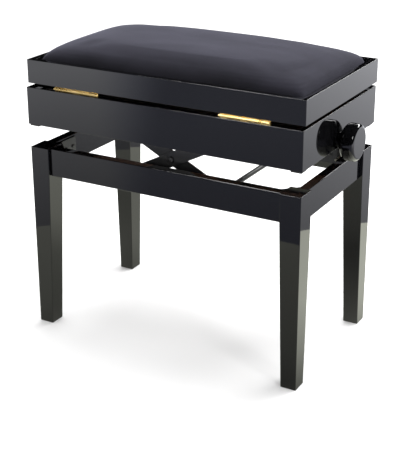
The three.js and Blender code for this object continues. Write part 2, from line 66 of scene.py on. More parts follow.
class Shader:
    """A material and the nodes that feed its Principled shader."""

    def __init__(self, name, **sockets):
        self.material = bpy.data.materials.new(name)
        self.material.use_nodes = True
        self.tree = self.material.node_tree
        self.surface = self.tree.nodes["Principled BSDF"]
        for socket, value in sockets.items():
            self.surface.inputs[socket.replace("_", " ")].default_value = value

    def node(self, kind, inputs=None, output=0, **settings):
        made = self.tree.nodes.new("ShaderNode" + kind)
        for key, value in settings.items():
            setattr(made, key, value)
        for key, value in (inputs or {}).items():
            if isinstance(value, bpy.types.NodeSocket):
                self.tree.links.new(value, made.inputs[key])
            else:
                made.inputs[key].default_value = value
        return made.outputs[output]

    def place(self, stretch=(1, 1, 1)):
        """Object coordinates, stretched for a grain that runs one way."""
        where = self.node("TexCoord", output="Object")
        return self.node("Mapping", {"Vector": where, "Scale": stretch})

    def noise(self, scale, detail=2.0, roughness=0.5, stretch=(1, 1, 1)):
        inputs = {"Vector": self.place(stretch), "Scale": scale, "Detail": detail, "Roughness": roughness}
        return self.node("TexNoise", inputs)

    def ranged(self, value, low, high, start=0.3, end=0.7):
        inputs = {"Value": value, "From Min": start, "From Max": end, "To Min": low, "To Max": high}
        return self.node("MapRange", inputs)

    def colours(self, factor, *stops):
        made = self.tree.nodes.new("ShaderNodeValToRGB")
        self.tree.links.new(factor, made.inputs[0])
        ramp = made.color_ramp.elements
        while len(ramp) < len(stops):
            ramp.new(0.5)
        for element, (position, colour) in zip(ramp, stops):
            element.position = position
            element.color = (*colour, 1)
        return made.outputs[0]

    def bump(self, *layers):
        """Height layers of (value, strength, depth in metres), laid one on another."""
        normal = None
        for height, strength, depth in layers:
            inputs = {"Height": height, "Strength": strength, "Distance": depth}
            if normal:
                inputs["Normal"] = normal
            normal = self.node("Bump", inputs)
        self.tree.links.new(normal, self.surface.inputs["Normal"])

    def feed(self, socket, value):
        self.tree.links.new(value, self.surface.inputs[socket])


def black_lacquer():
    """Polished polyester lacquer: deep black, a faint orange peel and finger-smudged gloss."""
    made = Shader("black_lacquer", IOR=1.5)
    cloud = made.noise(5, 3)
    deep, pale = (0.0018, 0.0018, 0.0022), (0.003, 0.003, 0.0033)
    made.feed("Base Color", made.colours(cloud, (0.3, deep), (0.7, pale)))
    made.feed("Roughness", made.ranged(made.noise(14, 4, 0.6), 0.012, 0.035))
    made.bump((made.noise(55, 1), 0.012, 0.6 * MM), (made.noise(420, 2), 0.012, 0.04 * MM))
    return made.material


def dark_board():
    """Brown hardboard: pressed fibres, dull, a little uneven in colour."""
    made = Shader("dark_board", IOR=1.45)
    fibres = made.noise(140, 6, 0.7, (1, 3, 3))
    deep, pale = (0.05, 0.02, 0.011), (0.15, 0.065, 0.034)
    made.feed("Base Color", made.colours(fibres, (0.25, deep), (0.75, pale)))
    made.feed("Roughness", made.ranged(fibres, 0.45, 0.7))
    made.bump((fibres, 0.35, 0.25 * MM), (made.noise(900, 2), 0.3, 0.08 * MM))
    return made.material


def black_steel():
    """Black powder coat on steel: a fine pebbled skin."""
    made = Shader("black_steel", IOR=1.5)
    pebbles = made.noise(1100, 2)
    deep, pale = (0.007, 0.007, 0.008), (0.014, 0.014, 0.015)
    made.feed("Base Color", made.colours(pebbles, (0.3, deep), (0.7, pale)))
    made.feed("Roughness", made.ranged(made.noise(60, 3), 0.3, 0.44))
    made.bump((pebbles, 0.4, 0.06 * MM), (made.noise(90, 2), 0.1, 0.1 * MM))
    return made.material


def zinc_steel():
    """Zinc-plated steel: bright, slightly clouded, with fine drawing marks."""
    made = Shader("zinc_steel", Metallic=1)
    cloud = made.noise(130, 4, 0.6)
    deep, pale = (0.26, 0.26, 0.22), (0.46, 0.46, 0.4)
    made.feed("Base Color", made.colours(cloud, (0.3, deep), (0.7, pale)))
    made.feed("Roughness", made.ranged(cloud, 0.24, 0.42))
    made.bump((made.noise(700, 3, 0.5, (0.15, 1, 1)), 0.15, 0.04 * MM))
    return made.material


def brass():
    """Polished brass with fine brushing along the hinge and a slight tarnish."""
    made = Shader("brass", Metallic=1)
    tarnish = made.noise(60, 3, 0.5)
    deep, pale = (0.58, 0.4, 0.14), (0.8, 0.6, 0.27)
    made.feed("Base Color", made.colours(tarnish, (0.3, deep), (0.65, pale)))
    made.feed("Roughness", made.ranged(tarnish, 0.26, 0.34))
    made.bump((made.noise(1500, 2, 0.5, (0.05, 1, 1)), 0.06, 0.02 * MM))
    return made.material


def velour():
    """Short-pile black velour: dark looked into, pale and bluish where the nap is seen edge-on."""
    made = Shader(
        "velour", Sheen_Weight=0.22, Sheen_Roughness=0.42, Sheen_Tint=(0.62, 0.62, 0.8, 1),
        Specular_IOR_Level=0.1,
    )
    brushed = made.noise(9, 3, 0.55, (1, 2.2, 1))
    pile = made.noise(1600, 2, 0.6)
    mix = made.node("Math", {0: brushed, 1: made.ranged(pile, -0.12, 0.12)}, operation="ADD")
    deep, pale = (0.0065, 0.0062, 0.009), (0.015, 0.0144, 0.02)
    made.feed("Base Color", made.colours(mix, (0.3, deep), (0.72, pale)))
    made.feed("Roughness", made.ranged(brushed, 0.82, 0.95))
    made.bump((brushed, 0.12, 1.2 * MM), (pile, 0.5, 0.2 * MM))
    return made.material


def rubber():
    """Matt black rubber with a moulded grain."""
    made = Shader("rubber")
    grain = made.noise(800, 3)
    deep, pale = (0.012, 0.012, 0.012), (0.026, 0.026, 0.025)
    made.feed("Base Color", made.colours(grain, (0.3, deep), (0.7, pale)))
    made.feed("Roughness", made.ranged(grain, 0.7, 0.88))
    made.bump((grain, 0.4, 0.08 * MM))
    return made.material


def black_gloss_plastic():
    """Moulded and polished black plastic, with faint flow marks."""
    made = Shader("black_gloss_plastic", IOR=1.52)
    flow = made.noise(35, 3)
    deep, pale = (0.0015, 0.0015, 0.0018), (0.0026, 0.0026, 0.003)
    made.feed("Base Color", made.colours(flow, (0.3, deep), (0.7, pale)))
    made.feed("Roughness", made.ranged(flow, 0.02, 0.05))
    made.bump((made.noise(70, 1), 0.02, 0.4 * MM))
    return made.material


FINISHES = {
    make.__name__: make()
    for make in (
        black_lacquer, dark_board, black_steel, zinc_steel, brass, velour, rubber, black_gloss_plastic,
    )
}


# ---------------------------------------------------------------- mesh tools


def welded(*nodes):
    """CAD nodes as one mesh of clean flat faces, in place."""
    shape = bmesh.new()
    for name in nodes:
        shape.from_mesh(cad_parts[name].data)
    bmesh.ops.remove_doubles(shape, verts=shape.verts, dist=0.01 * MM)
    bmesh.ops.dissolve_limit(shape, angle_limit=math.radians(0.6), verts=shape.verts, edges=shape.edges)
    return shape


def bevelled(shape, width, shortest=6 * MM, segments=3, sharper=25):
    """Rounds the long sharp edges of a mesh."""
    edges = [
        edge for edge in shape.edges
        if edge.is_manifold and edge.calc_length() > shortest
        and edge.calc_face_angle() > math.radians(sharper)
    ]
    bmesh.ops.bevel(shape, geom=edges, offset=width, segments=segments, profile=0.5, affect="EDGES",
                    clamp_overlap=True)
    return shape


def block(low, high):
    """A closed box between two corners."""
    shape = bmesh.new()
    middle = [(a + b) / 2 for a, b in zip(low, high)]
    size = [b - a for a, b in zip(low, high)]
    place = Matrix.Translation(middle) @ Matrix.Diagonal((*size, 1))
    bmesh.ops.create_cube(shape, size=1, matrix=place)
    return shape


def turned(profile, centre=(0, 0, 0), axis=X, sides=48, turn=0):
    """A solid of revolution. The profile is [(distance along the axis, radius), ...] from end to end."""
    shape = bmesh.new()
    rings = []
    for along, radius in profile:
        if radius < 1e-7:
            rings.append([shape.verts.new((along, 0, 0))])
            continue
        angles = [2 * math.pi * i / sides + turn for i in range(sides)]
        ring = [(along, radius * math.cos(a), radius * math.sin(a)) for a in angles]
        rings.append([shape.verts.new(corner) for corner in ring])
    for near, far in zip(rings, rings[1:]):
        for i in range(sides):
            j = (i + 1) % sides
            corners = [near[i % len(near)], near[j % len(near)], far[j % len(far)], far[i % len(far)]]
            shape.faces.new(list(dict.fromkeys(corners)))
    spin = X.rotation_difference(Vector(axis)).to_matrix().to_4x4()
    shape.transform(Matrix.Translation(centre) @ spin)
    return shape


def merged(*shapes):
    """Several closed shapes as one mesh."""
    whole = bmesh.new()
    for shape in shapes:
        part = bpy.data.meshes.new("part")
        shape.to_mesh(part)
        shape.free()
        whole.from_mesh(part)
        bpy.data.meshes.remove(part)
    return whole


def piece(name, shape, body, slot, nodes=(), smooth=40):
    """A finished piece: it rides on a body, has its slot's finish and stands for its CAD nodes."""
    bmesh.ops.recalc_face_normals(shape, faces=shape.faces)
    data = bpy.data.meshes.new(name)
    shape.to_mesh(data)
    shape.free()
    data.materials.append(FINISHES[slot])
    data.shade_smooth()
    data.set_sharp_from_angle(angle=math.radians(smooth))
    made = bpy.data.objects.new(name, data)
    scene.collection.objects.link(made)
    normals = made.modifiers.new("even_normals", "WEIGHTED_NORMAL")
    normals.keep_sharp = True
    normals.weight = 100
    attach(made, body)
    if nodes:
        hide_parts(*nodes)
    return made


def apply_now(made, modifier):
    """Applies one modifier to a piece's mesh."""
    with bpy.context.temp_override(object=made, active_object=made, selected_objects=[made]):
        bpy.ops.object.modifier_apply(modifier=modifier.name)


def carve(made, tool):
    """Cuts a closed shape out of a piece for good."""
    data = bpy.data.meshes.new("tool")
    bmesh.ops.recalc_face_normals(tool, faces=tool.faces)
    tool.to_mesh(data)
    tool.free()
    cutter = bpy.data.objects.new("tool", data)
    scene.collection.objects.link(cutter)
    cut = made.modifiers.new("cut", "BOOLEAN")
    cut.object = cutter
    cut.solver = "EXACT"
    made.modifiers.move(len(made.modifiers) - 1, 0)
    apply_now(made, cut)
    bpy.data.objects.remove(cutter)
    bpy.data.meshes.remove(data)


def screw_heads(places, axis, radius=3.4 * MM):
    """Pan-head screws standing on a face, each with a cross recess."""
    heads = []
    for at in places:
        dome = [(0, 0), (0, radius), (0.3 * radius, radius)]
        dome += [
            (radius * (0.3 + 0.32 * math.sin(a)), radius * math.cos(a))
            for a in (math.radians(d) for d in (25, 45, 62, 76))
        ]
        dome += [(0.61 * radius, 0.16 * radius), (0.3 * radius, 0.1 * radius), (0.25 * radius, 0)]
        heads.append(turned(dome, at, axis, 20))
    return heads


def washer(at, axis, radius, hole, thickness):
    """A flat ring on a shaft, with softened rims."""
    soft = 0.2 * thickness
    profile = [
        (0, hole), (0, radius - soft), (soft, radius), (thickness - soft, radius),
        (thickness, radius - soft), (thickness, hole), (0, hole),
    ]
    return turned(profile, at, axis, 40)


def hex_nut(at, axis, radius, height):
    """A six-sided nut with its corners turned off, closed on the shaft."""
    low = radius * math.cos(math.pi / 6)
    profile = [
        (0, 0), (0, low), (0.12 * height, radius), (0.88 * height, radius), (height, low), (height, 0),
    ]
    return turned(profile, at, axis, 6, turn=math.pi / 6)


def domed_head(length, dome):
    """The last points of a bolt's profile: a head whose outer side starts to curve in at the dome."""
    return [
        (length - HEAD_HEIGHT, SHANK), (length - HEAD_HEIGHT, HEAD), (length - dome, 6.4 * MM),
        (length - 0.6 * MM, 5 * MM), (length, 0),
    ]


def edge_of(node, corner, axis):
    """One coordinate of a CAD node's box: corner 0 is its low side and 1 its high side."""
    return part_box(node)[corner][axis]


# ---------------------------------------------------------------- leg frame


def leg_frame():
    for name in CORNERS:
        node = f"leg_{name}"
        leg = bevelled(welded(node), ROUND_EDGE, 12 * MM)
        piece(f"{node}_lacquered", leg, "leg_frame", "black_lacquer", [node])
        corner_bracket(name)
    for side in ("front", "back", "left", "right"):
        node = f"apron_{side}"
        apron = bevelled(welded(node), 1.2 * MM)
        piece(f"{node}_lacquered", apron, "leg_frame", "black_lacquer", [node])
    for side, sy in SIDES.items():
        lower_rail(side, sy)


def corner_bracket(name):
    """The steel corner strip with its screws, and the stud, washer and nut that hold the leg."""
    sx, sy = CORNERS[name]
    node = f"corner_bracket_{name}"
    low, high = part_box(node)
    outer_x, outer_y = (high if sx > 0 else low).x, (high if sy > 0 else low).y
    middle = (low.z + high.z) / 2
    reach, flange = 33.5 * MM, 46 * MM
    along = [reach + flange * share for share in (0.3, 0.78)]
    on_long = [(outer_x - sx * d, outer_y - sy * SHEET, middle) for d in along]
    on_short = [(outer_x - sx * SHEET, outer_y - sy * d, middle) for d in along]
    strip = bevelled(welded(node), 0.5 * MM)
    heads = screw_heads(on_long, -sy * Y) + screw_heads(on_short, -sx * X)
    piece(f"{node}_coated", merged(strip, *heads), "leg_frame", "black_steel", [node])

    bolt = f"hanger_bolt_{name}"
    inward = Vector((-sx, -sy, 0)).normalized()
    leg_low, leg_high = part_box(f"leg_{name}")
    corner = Vector(((leg_low if sx > 0 else leg_high).x, (leg_low if sy > 0 else leg_high).y, middle))
    stud_radius, stud_length, chamfer, outside = 3 * MM, 45 * MM, 0.8 * MM, 16.8 * MM
    stud = [
        (0, 0), (0, 0.8 * stud_radius), (chamfer, stud_radius),
        (stud_length - 1 * MM, stud_radius), (stud_length, 0),
    ]
    washer_face, nut_face = corner + inward * 2.9 * MM, corner + inward * 4.4 * MM
    shapes = [
        turned(stud, corner + inward * outside, -inward, 24),
        washer(washer_face, inward, 8 * MM, 2.9 * MM, 1.4 * MM),
        hex_nut(nut_face, inward, HEAD, 6 * MM),
    ]
    piece(f"{bolt}_plated", merged(*shapes), "leg_frame", "zinc_steel", [bolt], 30)


def lower_rail(side, sy):
    node = f"lower_rail_{side}"
    low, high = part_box(node)
    inner_face = (low if sy > 0 else high).y
    outer_face = (high if sy > 0 else low).y
    lip, screw_z = outer_face - sy * SHEET, high.z - 6.5 * MM
    places = [(low.x + share * (high.x - low.x), lip, screw_z) for share in SCREWS_ALONG]
    shapes = [bevelled(welded(node), SHEET_EDGE, 9 * MM), *screw_heads(places, -sy * Y)]
    piece(f"{node}_coated", merged(*shapes), "leg_frame", "black_steel", [node])
    pivot_bolt(f"lower_pivot_bolt_{side}", "leg_frame", sy, inner_face + sy * SHEET)


def pivot_bolt(node, body, sy, web):
    """A shouldered bolt: domed head outside the rail's web, collar, arm journal and inner head."""
    low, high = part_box(node)
    middle = (low + high) / 2
    outside, inside = ((high, low) if sy > 0 else (low, high))
    length = abs(outside.y - inside.y)
    spot = (middle.x, inside.y, middle.z)
    collar_start, collar_end = 8.1 * MM, abs(web - sy * 2.8 * MM - inside.y)
    profile = [
        (0, 0), (0, 5.6 * MM), (0.9 * MM, HEAD), (HEAD_HEIGHT, HEAD), (HEAD_HEIGHT, SHANK),
        (collar_start, SHANK), (collar_start, HEAD), (collar_end, HEAD), (collar_end, SHANK),
        *domed_head(length, 1.6 * MM),
    ]
    piece(f"{node}_coated", turned(profile, spot, sy * Y, 36), body, "black_steel", [node], 30)


# ---------------------------------------------------------------- scissor lift


def scissor_lift():
    for side, sy in SIDES.items():
        for level, body in (("outer", "outer_arms"), ("inner", "inner_arms")):
            node = f"{level}_arm_{side}"
            arm = bevelled(welded(node), 0.5 * MM, 1 * MM, sharper=60, segments=2)
            piece(f"{node}_coated", arm, body, "black_steel", [node])
        centre_bolt(side, sy)
        rod(f"upper_rod_{side}", "outer_arms", [sy])
    rod("lower_rod", "inner_arms", [-1, 1])
    nut = bevelled(welded("trunnion_nut"), 0.9 * MM, 12 * MM)
    piece("trunnion_nut_plated", nut, "nut", "zinc_steel", ["trunnion_nut"])


def centre_bolt(side, sy):
    """The bolt through the middle of a scissor, with a domed head and a hexagon nut."""
    node = f"centre_bolt_{side}"
    low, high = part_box(node)
    middle = (low + high) / 2
    inside, outside = ((low, high) if sy > 0 else (high, low))
    length = abs(outside.y - inside.y)
    profile = [(0.2 * MM, 0), (0.2 * MM, SHANK), *domed_head(length, 1.7 * MM)]
    start = (middle.x, inside.y, middle.z)
    shapes = [turned(profile, start, sy * Y, 36), hex_nut(start, sy * Y, HEAD, HEAD_HEIGHT)]
    piece(f"{node}_coated", merged(*shapes), "outer_arms", "black_steel", [node], 30)


def rod(node, body, ends):
    """A round rod in the rails' slots, held by a washer and a spring clip outside each web."""
    low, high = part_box(node)
    middle = (low + high) / 2
    length, radius, chamfer = high.y - low.y, 5 * MM, 0.8 * MM
    profile = [
        (0, 0), (0, radius - chamfer), (chamfer, radius),
        (length - chamfer, radius), (length, radius - chamfer), (length, 0),
    ]
    shapes = [turned(profile, (middle.x, low.y, middle.z), Y, 36)]
    hole = 0.98 * radius
    for end in ends:
        tip = Vector((middle.x, (high if end > 0 else low).y, middle.z))
        shapes.append(washer(tip - end * 5.2 * MM * Y, end * Y, 8.5 * MM, hole, 1.1 * MM))
        shapes.append(washer(tip - end * 3.9 * MM * Y, end * Y, 7 * MM, hole, 0.9 * MM))
    piece(f"{node}_coated", merged(*shapes), body, "black_steel", [node], 30)


# ---------------------------------------------------------------- box and lid


def rim(nodes):
    """Four boards as one seamless lacquered ring, rounded along every edge."""
    low = Vector([min(edge_of(n, 0, axis) for n in nodes) for axis in range(3)])
    high = Vector([max(edge_of(n, 1, axis) for n in nodes) for axis in range(3)])
    shape = bmesh.new()
    loops = []
    for inset, z in ((0, low.z), (0, high.z), (BOARD, high.z), (BOARD, low.z)):
        left, right = low.x + inset, high.x - inset
        front, back = low.y + inset, high.y - inset
        corners = [(left, front, z), (right, front, z), (right, back, z), (left, back, z)]
        loops.append([shape.verts.new(corner) for corner in corners])
    for near, far in zip(loops, loops[1:] + loops[:1]):
        for i in range(4):
            j = (i + 1) % 4
            shape.faces.new((near[i], near[j], far[j], far[i]))
    upright = [e for e in shape.edges if abs((e.verts[0].co - e.verts[1].co).normalized().z) > 0.9]
    bmesh.ops.bevel(shape, geom=upright[:4], offset=1.2 * MM, segments=3, profile=0.5, affect="EDGES")
    return bevelled(shape, ROUND_EDGE, shortest=0, sharper=50)


def storage_box():
    walls = [f"box_{side}" for side in ("front", "back", "left", "right")]
    ring = piece("box_walls", rim(walls), "seat_box", "black_lacquer", walls)
    spindle_low, spindle_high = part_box("spindle")
    spindle_z = (spindle_low.z + spindle_high.z) / 2
    right = edge_of("box_right", 1, 0)
    hole_radius, hole_length = 6.5 * MM, 20 * MM
    hole = [(0, 0), (0, hole_radius), (hole_length, hole_radius), (hole_length, 0)]
    carve(ring, turned(hole, (right - 16 * MM, 0, spindle_z), X, 48))
    floor = bevelled(welded("box_floor"), SHEET_EDGE)
    piece("box_floor_board", floor, "seat_box", "dark_board", ["box_floor"])
    for name in CORNERS:
        node = f"box_pad_{name}"
        piece(f"{node}_moulded", bevelled(welded(node), 1 * MM), "seat_box", "rubber", [node])
    for side in ("left", "right"):
        lid_bumper(f"lid_bumper_{side}")
    for side, sy in SIDES.items():
        upper_rail(side, sy)
    bearing_bracket(spindle_z)


def lid_bumper(node):
    low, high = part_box(node)
    middle, height = (low + high) / 2, high.z - low.z
    profile = [
        (0, 0), (0, 5 * MM), (0.55 * height, 5 * MM), (0.85 * height, 4.2 * MM),
        (height, 2.4 * MM), (height, 0),
    ]
    bumper = turned(profile, (middle.x, middle.y, low.z), Z, 32)
    piece(f"{node}_moulded", bumper, "seat_box", "rubber", [node])


def upper_rail(side, sy):
    node = f"upper_rail_{side}"
    low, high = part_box(node)
    inner_face = (low if sy > 0 else high).y
    flange_y = inner_face + sy * 14 * MM
    under = high.z - SHEET
    places = [(low.x + share * (high.x - low.x), flange_y, under) for share in SCREWS_ALONG]
    shapes = [bevelled(welded(node), SHEET_EDGE, 9 * MM), *screw_heads(places, -Z)]
    piece(f"{node}_coated", merged(*shapes), "seat_box", "black_steel", [node])
    pivot_bolt(f"upper_pivot_bolt_{side}", "seat_box", sy, inner_face + sy * SHEET)


def bearing_bracket(spindle_z):
    node = "bearing_bracket"
    low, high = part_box(node)
    on_wall = [(high.x - SHEET, sy * 14.5 * MM, spindle_z) for sy in (-1, 1)]
    on_floor = [(low.x + 9 * MM, sy * 12 * MM, high.z - SHEET) for sy in (-1, 1)]
    plate = bevelled(welded(node), SHEET_EDGE, 9 * MM)
    shapes = [plate, *screw_heads(on_wall, -X), *screw_heads(on_floor, -Z)]
    piece("bearing_bracket_plated", merged(*shapes), "seat_box", "zinc_steel", [node])


def lid():
    rails = [f"lid_{side}" for side in ("front", "back", "left", "right")]
    piece("lid_rim", rim(rails), "lid", "black_lacquer", rails)
    for node in ("lid_panel", "seat_board"):
        piece(f"{node}_board", bevelled(welded(node), SHEET_EDGE), "lid", "dark_board", [node])


def hinge_leaf(node, body, first, with_pin):
    """One leaf of a butt hinge: its plate, every second knuckle, its screws, and perhaps the pin."""
    low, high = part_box(node)
    box_low, box_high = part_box(node.replace("hinge_lid", "hinge_box"))
    radius, knuckles, gap, thick = 2.2 * MM, 5, 0.04 * MM, 1.6 * MM
    middle_y = box_low.y + radius
    pivot_z = (edge_of("box_front", 1, 2) + edge_of("lid_front", 0, 2)) / 2
    pitch = (box_high.x - box_low.x) / knuckles
    above = body == "lid"
    plate_z = (high.z - thick, high.z) if above else (low.z, low.z + thick)
    plate_front = middle_y + radius + 0.4 * MM
    shapes = [block((box_low.x, plate_front, plate_z[0]), (box_high.x, high.y, plate_z[1]))]
    for i in range(first, knuckles, 2):
        start = box_low.x + i * pitch
        size, soft = pitch - 2 * gap, 0.12 * MM
        barrel = [
            (0, 0), (0, radius - soft), (soft, radius),
            (size - soft, radius), (size, radius - soft), (size, 0),
        ]
        shapes.append(turned(barrel, (start + gap, middle_y, pivot_z), X, 32))
        web = (start + gap, middle_y + 1.3 * MM, plate_z[0])
        shapes.append(block(web, (start + pitch - gap, high.y - 2 * MM, plate_z[1])))
    if with_pin:
        length = box_high.x - box_low.x
        pin_radius = 1.05 * MM
        pin = [(0, 0), (0, pin_radius), (length, pin_radius), (length, 0)]
        shapes.append(turned(pin, (box_low.x, middle_y, pivot_z), X, 24))
        tip = [
            (0, 0), (0, 1.7 * MM), (0.3 * MM, 2 * MM),
            (1.2 * MM, 1.9 * MM), (1.8 * MM, 1.1 * MM), (2 * MM, 0),
        ]
        shapes.append(turned(tip, (box_low.x, middle_y, pivot_z), -X, 24))
        shapes.append(turned(tip, (box_high.x, middle_y, pivot_z), X, 24))
    screw_z, facing = (plate_z[0], -Z) if above else (plate_z[1], Z)
    screw_y = high.y - 2.9 * MM
    spots = [(box_low.x + share * pitch * knuckles, screw_y, screw_z) for share in (0.12, 0.5, 0.88)]
    shapes += screw_heads(spots, facing, 1.7 * MM)
    piece(f"{node}_polished", merged(*shapes), body, "brass", [node], 30)


def hinges():
    for side in ("left", "right"):
        hinge_leaf(f"hinge_box_leaf_{side}", "seat_box", 0, True)
        hinge_leaf(f"hinge_lid_leaf_{side}", "lid", 1, False)


# ---------------------------------------------------------------- spindle and knob


def spindle():
    """A two-start screw, its collar and plain journal."""
    low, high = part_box("spindle")
    middle = (low + high) / 2
    collar_end = edge_of("bearing_bracket", 1, 0) - 2.8 * MM
    collar_start, collar_radius, soft = collar_end - 15 * MM, 9.5 * MM, 0.5 * MM
    lead, depth, crest, sides, step = 7.1 * MM, 0.9 * MM, 6 * MM, 28, 0.55 * MM
    start, end = low.x + 2 * MM, collar_start - 2 * MM
    count = round((end - start) / step)
    shape = bmesh.new()
    rings = []
    for k in range(count + 1):
        x = start + (end - start) * k / count
        ring = []
        for i in range(sides):
            share = i / sides
            phase = (2 * (x / lead - share)) % 1
            tooth = min(1, max(0, (abs(phase - 0.5) - 0.14) * 6))
            radius = crest - depth * tooth
            angle = 2 * math.pi * share
            across, up = radius * math.cos(angle), radius * math.sin(angle)
            ring.append(shape.verts.new((x, across, middle.z + up)))
        rings.append(ring)
    for near, far in zip(rings, rings[1:]):
        for i in range(sides):
            j = (i + 1) % sides
            shape.faces.new((near[i], near[j], far[j], far[i]))
    for ring, tip_x in ((rings[0], low.x), (rings[-1], collar_start + 0.5 * MM)):
        tip = shape.verts.new((tip_x, 0, middle.z))
        for i in range(sides):
            shape.faces.new((ring[i], ring[(i + 1) % sides], tip))
    shaft = [
        (end - 2 * MM, 0), (end - 2 * MM, JOURNAL), (collar_start, JOURNAL),
        (collar_start, collar_radius - soft), (collar_start + soft, collar_radius),
        (collar_end - soft, collar_radius), (collar_end, collar_radius - soft), (collar_end, JOURNAL),
        (high.x - 0.6 * MM, JOURNAL), (high.x, JOURNAL - 0.6 * MM), (high.x, 0),
    ]
    body = turned(shaft, (0, 0, middle.z), X, 40)
    piece("spindle_threaded", merged(shape, body), "spindle_and_knob", "zinc_steel", ["spindle"], 30)


def knob():
    """The turned grip: a short hub, a full round shoulder, a rounded rim and a flat face."""
    low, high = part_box("knob")
    axis_z = (low.z + high.z) / 2
    depth, radius = high.x - low.x, (high.z - low.z) / 2
    hub, hub_length, shoulder, edge = 14.5 * MM, 4 * MM, 13 * MM, 7.5 * MM

    def arc(centre_x, centre_r, size_x, size_r, start, end, steps):
        angles = [math.radians(start + (end - start) * i / steps) for i in range(steps + 1)]
        return [(centre_x + size_x * math.cos(a), centre_r + size_r * math.sin(a)) for a in angles]

    bore, bore_depth, soft = 5.3 * MM, 9 * MM, 0.5 * MM
    profile = [(bore_depth, 0), (bore_depth, bore), (0, bore), (0, hub - soft), (soft, hub)]
    profile += arc(hub_length + shoulder, hub, shoulder, radius - hub, 180, 92, 20)
    profile += arc(depth - edge, radius - edge, edge, edge, 90, 0, 16)
    profile += [(depth, 0.5 * radius), (depth, 0)]
    shape = turned(profile, (low.x, 0, axis_z), X, 112)
    piece("knob_turned", shape, "spindle_and_knob", "black_gloss_plastic", ["knob"], 50)


# ---------------------------------------------------------------- cushion

CROWN = 32.5 * MM  # how high the crown stands over the lid's rim
TUCK = 9 * MM  # how far the cover's edge goes down inside the rim
GROOVE = 3.3 * MM  # how far the cover's edge keeps back from the rim, past the piece's own clearance

# How full a curve is: the higher the flatness, the further out it starts to fall, and the lower the
# power, the rounder it falls. The first pair runs along the bench and the second across it.
CROWN_CURVES = ((3, 0.27), (4.2, 0.46))
EDGE_CURVES = ((60, 0.5), (36, 0.5))


def cushion_form(low, high, rim_z, columns=72, rows=44):
    """The stuffed form before it swells: straight sides in the lid, a crown above, flat underneath."""
    middle, half = (low + high) / 2, (high - low) / 2 - Vector((GROOVE, GROOVE, 0))

    def bulge(shares, curves):
        product = 1
        for share, (flatness, power) in zip(shares, curves):
            product *= max(0.0, 1 - abs(share) ** flatness) ** power
        return product

    shape = bmesh.new()
    layers = []
    for top in (False, True):
        layer = []
        for j in range(rows + 1):
            t = math.sin((2 * j / rows - 1) * math.pi / 2)
            for i in range(columns + 1):
                s = math.sin((2 * i / columns - 1) * math.pi / 2)
                crown = CROWN * bulge((s, t), CROWN_CURVES)
                tuck = TUCK * (1 - bulge((s, t), EDGE_CURVES))
                height = rim_z - 1 * MM + crown - tuck if top else low.z
                place = (middle.x + s * half.x, middle.y + t * half.y, height)
                layer.append(shape.verts.new(place))
        layers.append(layer)
    bottom, over = layers
    width = columns + 1
    for j in range(rows):
        for i in range(columns):
            a = j * width + i
            b, c, d = a + 1, a + width + 1, a + width
            shape.faces.new((bottom[a], bottom[d], bottom[c], bottom[b]))
            shape.faces.new((over[a], over[b], over[c], over[d]))
    border = [*range(columns), *(j * width + columns for j in range(rows))]
    border += [rows * width + i for i in range(columns, 0, -1)]
    border += [j * width for j in range(rows, 0, -1)]
    for here, there in zip(border, border[1:] + border[:1]):
        shape.faces.new((bottom[here], bottom[there], over[there], over[here]))
    return shape


def evened(data, steps, rounds):
    """Each vertex's step averaged with its neighbours', so that the cover swells without creases."""
    neighbours = [[] for _ in data.vertices]
    for edge in data.edges:
        a, b = edge.vertices
        neighbours[a].append(b)
        neighbours[b].append(a)
    for _ in range(rounds):
        steps = [
            0.4 * step + 0.6 * sum((steps[n] for n in near), Vector()) / len(near)
            for step, near in zip(steps, neighbours)
        ]
    return steps


def puffed(made, rim_z, cap=3.5 * MM):
    """Remeshes the form and swells its cover under pressure, held where the lid's rim holds it."""
    remesh = made.modifiers.new("remesh", "REMESH")
    remesh.mode = "VOXEL"
    remesh.voxel_size = 5 * MM
    apply_now(made, remesh)
    held = made.vertex_groups.new(name="held")
    for vertex in made.data.vertices:
        if vertex.co.z < rim_z - 2 * MM:
            held.add([vertex.index], 1.0, "REPLACE")
    start = [vertex.co.copy() for vertex in made.data.vertices]
    outward = [vertex.normal.copy() for vertex in made.data.vertices]
    cloth = made.modifiers.new("cloth", "CLOTH")
    settings = cloth.settings
    settings.quality = 6
    settings.use_pressure = True
    settings.uniform_pressure_force = 4
    settings.tension_stiffness = 12
    settings.compression_stiffness = 12
    settings.bending_stiffness = 0.6
    settings.vertex_group_mass = held.name
    settings.effector_weights.gravity = 0
    for number in range(1, 21):
        scene.frame_set(number)
    swollen = made.evaluated_get(bpy.context.evaluated_depsgraph_get()).to_mesh()
    moved = [vertex.co.copy() for vertex in swollen.vertices]
    made.modifiers.remove(cloth)
    made.vertex_groups.remove(held)
    swell = [(after - before).dot(normal) for before, after, normal in zip(start, moved, outward)]
    steps = [normal * min(cap, max(0, size)) for normal, size in zip(outward, swell)]
    for vertex, before, step in zip(made.data.vertices, start, evened(made.data, steps, 14)):
        vertex.co = before + step
    scene.frame_set(1)


def seat_cushion():
    low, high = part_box("seat_cushion")
    rim_z = edge_of("lid_front", 1, 2)
    form = cushion_form(low, high, rim_z)
    cushion = piece("seat_cushion_velour", form, "lid", "velour", ["seat_cushion"], 180)
    cushion.modifiers.clear()
    puffed(cushion, rim_z)
    finer = cushion.modifiers.new("finer", "SUBSURF")
    finer.levels = finer.render_levels = 1


# ---------------------------------------------------------------- floor, light and camera


